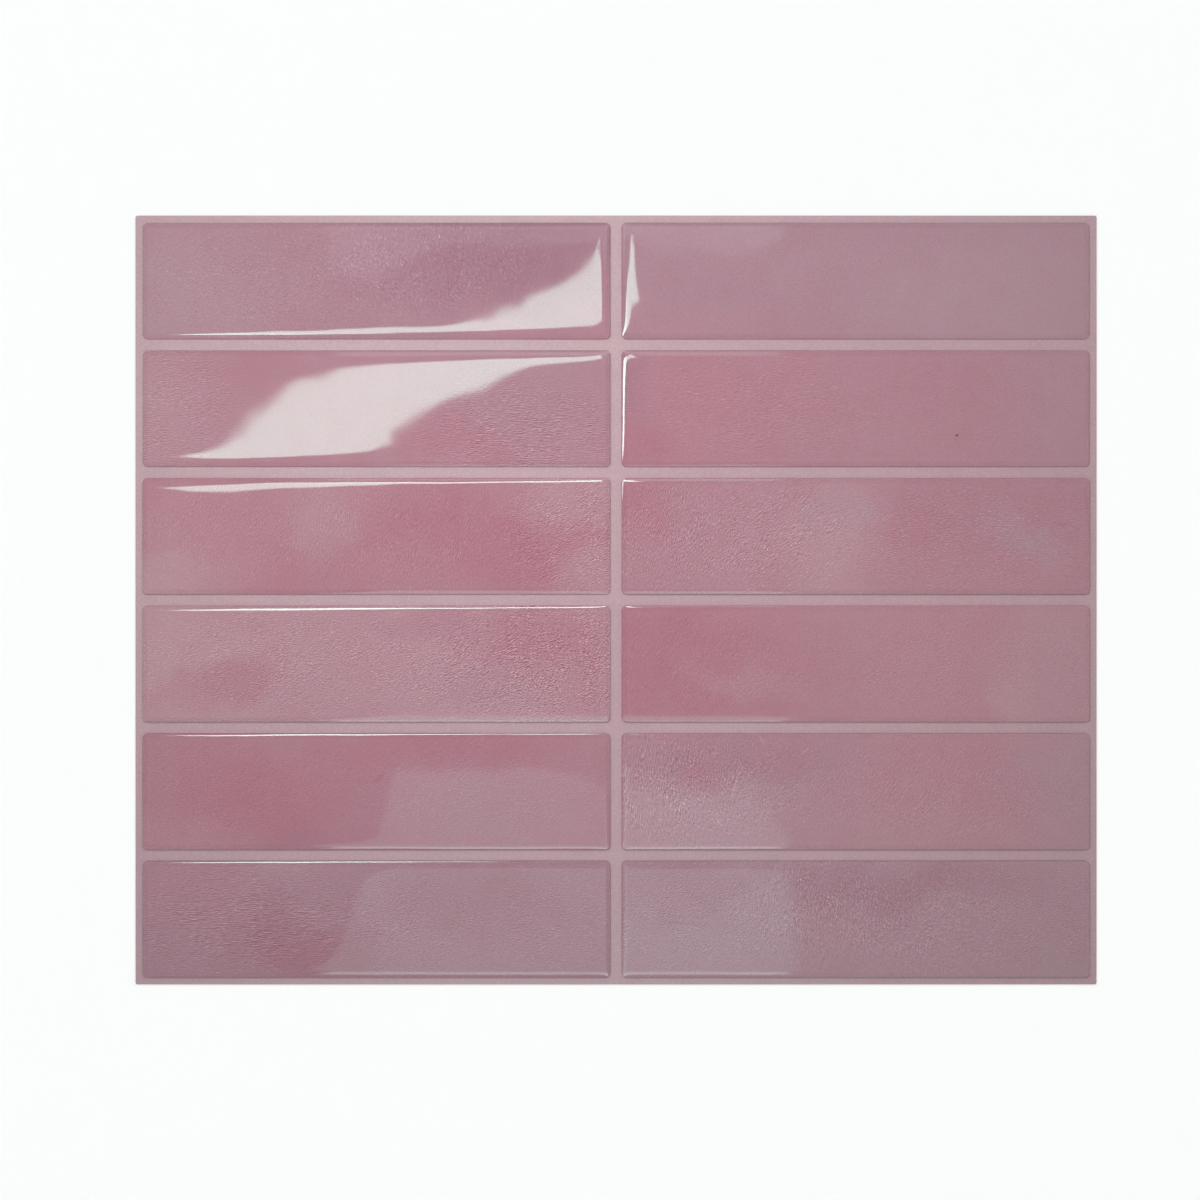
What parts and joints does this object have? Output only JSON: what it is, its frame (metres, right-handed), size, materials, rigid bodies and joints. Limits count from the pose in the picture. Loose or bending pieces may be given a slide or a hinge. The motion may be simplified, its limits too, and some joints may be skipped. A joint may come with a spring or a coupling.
{
  "type": "peel and stick backsplash tile",
  "caption": "Self-adhesive wall sheet: rectangular clear gel tiles cast in two columns on a printed, grout-coloured vinyl film, with a release liner over the adhesive.",
  "frame": {"origin": "middle of the release liner's underside, on the surface the sheet lies on", "axes": "+X along the tiles' long sides (the sheet's long side), +Y across the tiles towards row 1, +Z out of the tiled face"},
  "size_m": [0.3, 0.24, 0.0018],
  "materials": {
    "glossy_gel": "clear cast gel over a mottled dusty rose print, glossy",
    "printed_vinyl": "printed vinyl film in a pale mauve grout colour, satin",
    "liner_paper": "siliconised release paper, off-white, satin"
  },
  "bodies": {
    "root": {"release_liner": "liner_paper", "printed_film": "printed_vinyl", "gel_tile_row1_col1": "glossy_gel", "gel_tile_row1_col2": "glossy_gel", "gel_tile_row2_col1": "glossy_gel", "gel_tile_row2_col2": "glossy_gel", "gel_tile_row3_col1": "glossy_gel", "gel_tile_row3_col2": "glossy_gel", "gel_tile_row4_col1": "glossy_gel", "gel_tile_row4_col2": "glossy_gel", "gel_tile_row5_col1": "glossy_gel", "gel_tile_row5_col2": "glossy_gel", "gel_tile_row6_col1": "glossy_gel", "gel_tile_row6_col2": "glossy_gel"}
  },
  "joints": []
}
